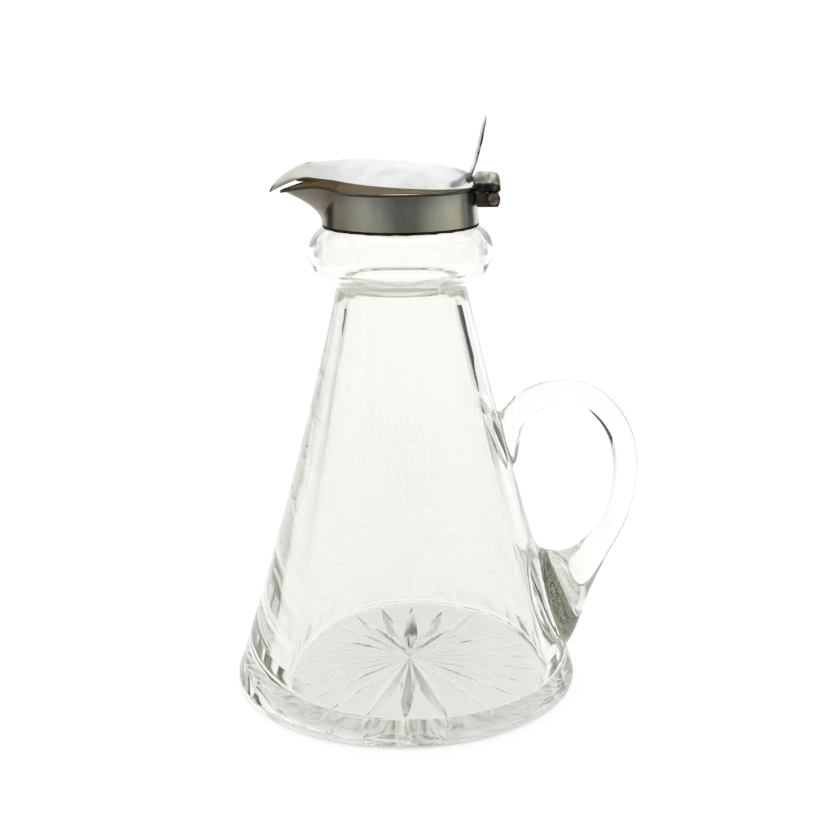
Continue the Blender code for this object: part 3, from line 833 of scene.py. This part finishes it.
def makeLid(material):
    s = lidSet
    shares = [sin(radians(a)) for a in s["domeAngles"]]
    drop, tuck = s["edge"]
    rings = [lidRing(share, s["rise"], 0.0) for share in shares]
    rings += [lidRing(1.0, s["rise"], 0.0), [p - Vector((0, 0, drop * mm)) for p in lidRing(1.0, s["rise"], -tuck)],
            lidRing(1.0, s["rise"], -s["sheet"])]
    under = [lidRing(share, s["rise"] - s["sheet"], -s["sheet"], True) for share in reversed(shares[2:-1:2])]
    # zone 0 is the outside and 1 the inside
    marks = [0.0] * (len(shares) - 1) + [0.35, 0.5, 0.65, 0.8] + [1.0] * len(under)
    bm = bmesh.new()
    extrudeRings(bm, rings + under, marks=marks)
    bmesh.ops.poke(bm, faces=[f for f in bm.faces if len(f.verts) == s["points"]])
    finishPiece("silverLid", bm, material, "lid_assembly", ["lid"], sharp=50)


def lidMaterial():
    # polished silver plate, bright, with painted shade greying it towards the beak's tip; tan inside like the collar,
    # and dull grey in a mottled patch near the thumb-piece
    material = metalMaterial("silverPlatePolished", "#E4E5E5", "#D3D4D3", 0.10, 0.14)
    tree = material.node_tree
    # painted shade: the beak greyer and greener towards its tip
    paintedBeakShade = bandAlong(tree, 0, -37.0, 10.0, [(-36.0, "#D6D8CC"), (-29.0, "#E2E4D8"), (-20.0, "#FFFFFF")])
    blendOver(tree, "Base Color", 1.0, paintedBeakShade, "MULTIPLY")
    spot = addNode(tree, "TexCoord").outputs["Object"]
    # a dull grey mottled patch beside the thumb-piece
    greyPatchAt = [c * mm for c in lidSet["greyPatchAt"]]
    end, full, strength = lidSet["greyPatch"]
    away = addNode(tree, "VectorMath", {0: spot, 1: greyPatchAt}, operation="DISTANCE")
    greyPatch = addNode(tree, "TexNoise", {"Vector": spot, "Scale": lidSet["greyPatchScale"], "Detail": 5.0,
            "Roughness": 0.7})
    near = addNode(tree, "MapRange", {"Value": away.outputs["Value"], "From Min": end * mm,
            "From Max": full * mm, "To Max": strength})
    dull = addNode(tree, "Math", {0: near.outputs["Result"], 1: greyPatch.outputs["Fac"]}, operation="MULTIPLY")
    dull.use_clamp = True
    blendOver(tree, "Base Color", dull.outputs[0], hexColor("#7F817E"))
    leaveInside(tree, 0.7, 0.95, "#CDBCA4")
    return material


hingeSet = {
    "x": 20.35,
    "z": 114.0,
    "knuckleR": 1.5,
    "pinR": 0.6,
    "halfWidth": 6.0,
    "lidKnuckle": 2.0,  # half width of the middle knuckle
    "gap": 0.3,
    "blockLow": 112.3,
    "blockHigh": 115.2,
    "stepAt": 5.25,  # mm from the middle; the block is cut down outside it
    "stepHigh": 113.3,
    "collarGap": 17.55,  # the block's hollow side follows the collar
    "lugLow": 115.58,
    "lugEdge": 117.45,
    "lugCrown": 119.45,
    # x of each section, how far its crown is rounded down and its sides in, and the radius it is hollowed to
    "lugSections": ((16.0, 0.0, 0.0, 17.45), (18.4, 0.0, 0.0, 18.48), (19.4, 0.0, 0.0, 0.0),
        (20.7, 0.08, 0.0, 0.0), (21.4, 0.30, 0.0, 0.0), (21.74, 0.52, 0.05, 0.0),
        (21.9, 0.80, 0.2, 0.0)),
    "lugKnuckle": (1.48, 1.25),  # radius, and at its chamfered ends
    "lugNeck": (-0.95, 1.4),  # from the pin's middle
}


def mountRing(y, withBarrel):
    # upright section of the block, with its round barrel or hollowed for the lid's knuckle
    h = hingeSet
    left = sqrt(h["collarGap"] ** 2 - y * y)
    high = h["blockHigh"] if abs(y) < h["stepAt"] else h["stepHigh"]
    points = [(left, h["blockLow"] + 0.4), (left, high)]
    if withBarrel:
        start, end, room = 192, 0, h["knuckleR"]
        points.append((h["x"] - h["knuckleR"], high))
    else:
        start, end, room = 190, 236, h["knuckleR"] + h["gap"]  # room for the lid's knuckle
        points.append((h["x"] - h["knuckleR"] - 0.4, high))
    for i in range(19):
        turn = radians(start + (end - start) * i / 18)
        points.append((h["x"] + room * cos(turn), h["z"] + room * sin(turn)))
    right, last = points[-1]
    if withBarrel:  # cut back below the barrel, where the opened lug comes down
        points += [(right - 0.12, last - 0.75), (right - 0.4, h["blockLow"] + 0.2), (right - 0.65, h["blockLow"])]
    else:
        points += [(right - 0.02, h["blockLow"] + 0.15), (right - 0.1, h["blockLow"] + 0.05),
                (right - 0.2, h["blockLow"])]
    points.append((left + 0.4, h["blockLow"]))
    return [(axisX + x * mm, y * mm, z * mm) for x, z in points]


def makeMount(material):
    h = hingeSet
    side, gap = h["halfWidth"], h["lidKnuckle"] + h["gap"]
    outer = [side, side - 0.12, h["stepAt"] + 0.05, h["stepAt"] - 0.05, 4.0, 3.0, gap]
    rings = [mountRing(-y, True) for y in outer] + [mountRing(-gap + 0.06, False), mountRing(0, False)]
    rings += [mountRing(gap - 0.06, False)] + [mountRing(y, True) for y in reversed(outer)]
    bm = bmesh.new()
    extrudeRings(bm, rings)
    finishPiece("hingeBlock", bm, material, "jug", ["hinge_mount"])


def turnedAlongY(bm, stops, x, z, sides=28):
    # a round bar across the jug; stops are places along it and their radii
    rings = []
    for y, radius in stops:
        rings.append([(axisX + (x + radius * cos(2 * pi * i / sides)) * mm, y * mm,
                (z + radius * sin(2 * pi * i / sides)) * mm) for i in range(sides)])
    extrudeRings(bm, rings)


def makePin(material):
    h = hingeSet
    end = h["halfWidth"] + 0.3
    heads = [(end - 0.06, 0.25), (end - 0.02, 0.5), (end, 0.85), (end - 0.04, 1.1), (end - 0.13, 1.25),
            (h["halfWidth"] + 0.01, 1.3), (h["halfWidth"] + 0.005, h["pinR"])]
    bm = bmesh.new()
    turnedAlongY(bm, [(-y, r) for y, r in heads] + [(y, r) for y, r in reversed(heads)], h["x"], h["z"])
    finishPiece("hingePin", bm, material, "jug", ["hinge_pin"], sharp=50)


def lugRing(x, drop, tuck, hollow):
    # upright section across the lug: flat below, straight sides, crowned above
    h = hingeSet
    side = h["halfWidth"] - tuck
    low = h["lugLow"] + tuck
    points = [(-side + 0.25, low), (0, low), (side - 0.25, low), (side, low + 0.2)]
    points += [(side, h["lugEdge"] - 0.2 - drop), (side - 0.06, h["lugEdge"] - 0.02 - drop)]
    for i in range(15):
        t = (1 - i / 7) * 0.965
        z = h["lugEdge"] + (h["lugCrown"] - h["lugEdge"]) * (1 - abs(t) ** 2.4) - drop
        points.append((side * t, z))
    points += [(-side + 0.06, h["lugEdge"] - 0.02 - drop), (-side, h["lugEdge"] - 0.2 - drop), (-side, low + 0.2)]
    ring = []
    for y, z in points:
        place = max(x, sqrt(hollow * hollow - y * y)) if hollow else x
        ring.append((axisX + place * mm, y * mm, z * mm))
    return ring


def makeLug(material):
    h = hingeSet
    bm = bmesh.new()
    extrudeRings(bm, [lugRing(*section) for section in h["lugSections"]])
    middles = bmesh.ops.poke(bm, faces=[f for f in bm.faces if len(f.verts) > 4])["verts"]
    clear = h["lugSections"][0][3]
    min(middles, key=lambda v: v.co.x).co.x = axisX + clear * mm  # the hollow end keeps clear of the collar
    half = h["lidKnuckle"]
    radius, ends = h["lugKnuckle"]
    turnedAlongY(bm, [(-half, ends), (-half + 0.15, radius), (half - 0.15, radius), (half, ends)], h["x"], h["z"], 32)
    near, far = h["lugNeck"]
    corners = ((near, -half), (far, -half), (far, half), (near, half))
    extrudeRings(bm, [[(axisX + (h["x"] + x) * mm, y * mm, z * mm) for x, y in corners]
            for z in (h["z"] + 0.3, h["lugLow"] + 0.3)])
    finishPiece("lidLug", bm, material, "lid_assembly", ["lid_lug"])


def lugMaterial():
    # thick plate brushed across, its cut ends dark with grime and brown at the back
    material = metalMaterial("silverBarBrushed", "#C8CBBD", "#6F7268", 0.20, 0.2, (4.5, 0.3, 4.5))
    tree = material.node_tree
    ends = bandAlong(tree, 1, -6.4, 6.4, [(-5.9, "#6E7070"), (-5.6, "#FFFFFF"), (5.6, "#FFFFFF"), (5.9, "#6E7070")])
    blendOver(tree, "Base Color", 1.0, ends, "MULTIPLY")
    back = bandAlong(tree, 0, 8.0, 15.0, [(13.6, "#FFFFFF"), (14.2, "#B7A48E")])
    blendOver(tree, "Base Color", 1.0, back, "MULTIPLY")
    return material


thumbSet = {
    "line": ((15.0, 117.6), (15.55, 118.8), (16.0, 120.0), (16.75, 122.0), (17.3, 124.3), (17.9, 126.6),
        (18.35, 129.0), (19.0, 131.55)),
    "sheet": 0.6,
    # share of the way up and half the width there
    "widths": ((0.0, 5.2), (0.2, 3.4), (0.65, 4.3), (0.9, 3.3), (1.0, 1.4)),
    "tip": (0.93, 0.55),  # from this share up it thins to this much
    "squareness": (0.45, 0.8),  # of the section, in its thickness and in its width
    "sides": 20,
}


def thumbHalfWidth(share):
    for (low, lowWidth), (high, highWidth) in zip(thumbSet["widths"], thumbSet["widths"][1:]):
        if share <= high:
            t = (share - low) / (high - low)
            if highWidth > lowWidth or low == 0.0:
                t = (1 - cos(pi * t)) / 2
            else:
                t = 1 - sqrt(1 - t * t)
            break
    return lowWidth + (highWidth - lowWidth) * t


def rounded(value, power):
    # a sine or cosine pushed outwards, which squares a section off
    return (1 if value > 0 else -1) * abs(value) ** power


def makeThumb(material):
    line = smoothLine(thumbSet["line"], 6)
    tipFrom, tipThin = thumbSet["tip"]
    flatPower, widePower = thumbSet["squareness"]
    rings = []
    for i, point in enumerate(line):
        share = i / (len(line) - 1)
        ahead = line[min(i + 1, len(line) - 1)] - line[max(i - 1, 0)]
        across = Vector((ahead.y, -ahead.x)).normalized() * thumbSet["sheet"] / 2
        width = thumbHalfWidth(share)
        if share > tipFrom:
            across *= tipThin + (1 - tipThin) * (1 - share) / (1 - tipFrom)
        ring = []
        for k in range(thumbSet["sides"]):
            turn = 2 * pi * k / thumbSet["sides"]
            spot = point + across * rounded(sin(turn), flatPower)
            ring.append((axisX + spot.x * mm, width * rounded(cos(turn), widePower) * mm, spot.y * mm))
        rings.append(ring)
    bm = bmesh.new()
    extrudeRings(bm, rings)
    finishPiece("thumbPiece", bm, material, "lid_assembly", ["thumb_piece"], sharp=50)


def bladeMaterial():
    # forged and hammered silver plate, with reflections painted into its colour: bright bands across the blade and
    # dark ones at the two bends
    material = metalMaterial("silverBladeForged", "#E4E6E8", "#6A6E72", 0.12, 0.15, (0.6, 0.6, 2.2))
    tree = material.node_tree
    # painted reflections: bright and dark bands up the blade, darkest at the two bends
    paintedBendReflections = bandAlong(tree, 2, 118.0, 132.0, [(119.4, "#8C9092"), (120.8, "#F0F1F2"), (123.0, "#D4D6D8"),
            (123.9, "#4C5054"), (124.9, "#D8DADC"), (126.2, "#7E8286"), (127.3, "#34383C"), (128.8, "#A4A8AB"),
            (130.2, "#F2F3F4")])
    blendOver(tree, "Base Color", 1.0, paintedBendReflections, "MULTIPLY")
    return material


solderSet = {
    "place": (7.9, -4.7, 118.35),  # mm
    "size": (0.85, 1.6, 1.2),
    "rough": 0.22,  # how lumpy it was left
    "lumps": 2.3,  # how many of them
}


def makeSolder(material):
    # the lump that holds the thumb-piece to the lid
    bm = bmesh.new()
    bmesh.ops.create_icosphere(bm, subdivisions=4, radius=1.0)
    for vert in bm.verts:
        lump = 1 + solderSet["rough"] * noise.noise(vert.co * solderSet["lumps"])
        vert.co = Vector([(c + s * v * lump) * mm for c, s, v in zip(solderSet["place"], solderSet["size"], vert.co)])
    finishPiece("thumbSolder", bm, material, "lid_assembly", sharp=80)


makeCollar(collarMaterial())
# old cement, smeared and gone brown: a dull dark line below the collar
makeCement(metalMaterial("oldCementSmeared", "#5A463F", "#2A201E", 0.6, 0.3))
makeLid(lidMaterial())
# brass, soldered and tarnished, and painted nearly black as shade under the lid's lug, with a dim broken shine
makeMount(metalMaterial("brassTarnishedPaintedShade", "#7A6C5A", "#35332F", 0.3, 0.25))
# steel pin, rusted: brown-grey and grainy, brighter than the block round it
makePin(metalMaterial("steelPinRusted", "#A39384", "#5C5147", 0.35, 0.2, (5, 5, 5)))
makeLug(lugMaterial())
makeThumb(bladeMaterial())
# lead solder, left as it set: a grey lump with soft blurred lights
makeSolder(metalMaterial("leadSolderLump", "#7E837C", "#2E3331", 0.3, 0.2, (5, 5, 5)))
print("metal ready")


roomSet = {
    "overhead": 0.9,  # how bright straight up is, against straight behind
    "levels": [(-1.0, 0.20), (0.0, 0.38), (0.5, 0.62), (0.84, 1.0)],  # from in front to behind
    "strength": 1.12,
    "seenStrength": 1.1,
    "bounces": 48,  # light runs along inside the thick foot
}

floorSet = {
    "solid": 0.05,  # m; the table fades out into the white sweep from here
    "end": 0.36,
    "drop": 0.0002,  # m; it stays just clear of the foot
    "sides": 96,
    "white": 0.45,
    "glow": 0.72,
    "rough": 0.8,
}

cardSet = {
    "x": (0.42, 0.33),  # m from the middle, at the near and at the far upright edge
    "y": (0.18, 0.34),
    "z": (0.03, 0.26),
    "color": "#2A2C2A",
    "rough": 0.9,
    "shine": 0.1,
}


def makeRoom():
    world = bpy.data.worlds.new("studio")
    scene = bpy.context.scene
    scene.world = world
    world.use_nodes = True
    tree = world.node_tree
    background = tree.nodes["Background"]
    background.inputs["Strength"].default_value = roomSet["strength"]
    # a white sweep behind and overhead, dimmer at the sides and in front; plain white where it is looked at directly
    way = addNode(tree, "SeparateXYZ", {"Vector": addNode(tree, "TexCoord").outputs["Generated"]})
    above = addNode(tree, "Math", {0: way.outputs["Z"], 1: 0.0}, operation="MAXIMUM")
    facing = addNode(tree, "Math", {0: above.outputs[0], 1: roomSet["overhead"], 2: way.outputs["Y"]},
            operation="MULTIPLY_ADD")
    spread = addNode(tree, "MapRange", {"Value": facing.outputs[0], "From Min": -1.0})
    level = addNode(tree, "ValToRGB", {"Fac": spread.outputs["Result"]}, [((place + 1) / 2, bright) for place,
            bright in roomSet["levels"]])
    level.color_ramp.interpolation = "EASE"
    tree.links.new(level.outputs["Color"], background.inputs["Color"])
    plain = addNode(tree, "Background", {"Color": (1, 1, 1, 1), "Strength": roomSet["seenStrength"]})
    path = addNode(tree, "LightPath")
    both = addNode(tree, "MixShader", {0: path.outputs["Is Camera Ray"], 1: background.outputs[0],
            2: plain.outputs[0]})
    tree.links.new(both.outputs[0], tree.nodes["World Output"].inputs["Surface"])
    scene.view_settings.view_transform = "Standard"
    for kind in ("max", "transmission", "glossy"):
        setattr(scene.cycles, kind + "_bounces", roomSet["bounces"])


def makeFloor():
    f = floorSet
    bm = bmesh.new()
    bmesh.ops.create_circle(bm, cap_ends=True, segments=f["sides"], radius=f["end"])
    bmesh.ops.translate(bm, vec=(0, 0, -f["drop"]), verts=bm.verts)
    floor = bareObject("floor", bm)
    # white table top, painted: flat and bright, it fades into the sweep and leaves no horizon
    material, tree, shader = newMaterial("whiteTable", {
        "Base Color": (f["white"], f["white"], f["white"], 1), "Roughness": f["rough"],
        "Specular IOR Level": 0.0, "Emission Color": (1, 1, 1, 1), "Emission Strength": f["glow"]})
    spot = addNode(tree, "TexCoord").outputs["Object"]
    away = addNode(tree, "VectorMath", {0: spot}, operation="LENGTH")
    solid = addNode(tree, "MapRange", {"Value": away.outputs["Value"], "From Min": f["end"],
            "From Max": f["solid"]})
    tree.links.new(solid.outputs["Result"], shader.inputs["Alpha"])
    floor.data.materials.append(material)


def makeCard(name, side):
    # an upright card beside and behind the jug, seen only in its glass and metal
    bm = bmesh.new()
    bmesh.ops.create_grid(bm, x_segments=1, y_segments=1, size=0.5)
    spans = (cardSet["x"], cardSet["y"], cardSet["z"])
    for vert in bm.verts:
        along, up = vert.co.x + 0.5, vert.co.y + 0.5
        x, y, z = [near + (far - near) * t for (near, far), t in zip(spans, (along, along, up))]
        vert.co = (side * x, y, z)
    card = bareObject(name, bm)
    # card painted dark grey, matt: it gives the clear edges their dark lines
    card.data.materials.append(newMaterial(name + "Paint", {
        "Base Color": hexColor(cardSet["color"]), "Roughness": cardSet["rough"],
        "Specular IOR Level": cardSet["shine"]})[0])
    card.visible_camera = card.visible_diffuse = card.visible_shadow = False


makeRoom()
makeFloor()
makeCard("leftCard", -1)
makeCard("rightCard", 1)
print("room ready")
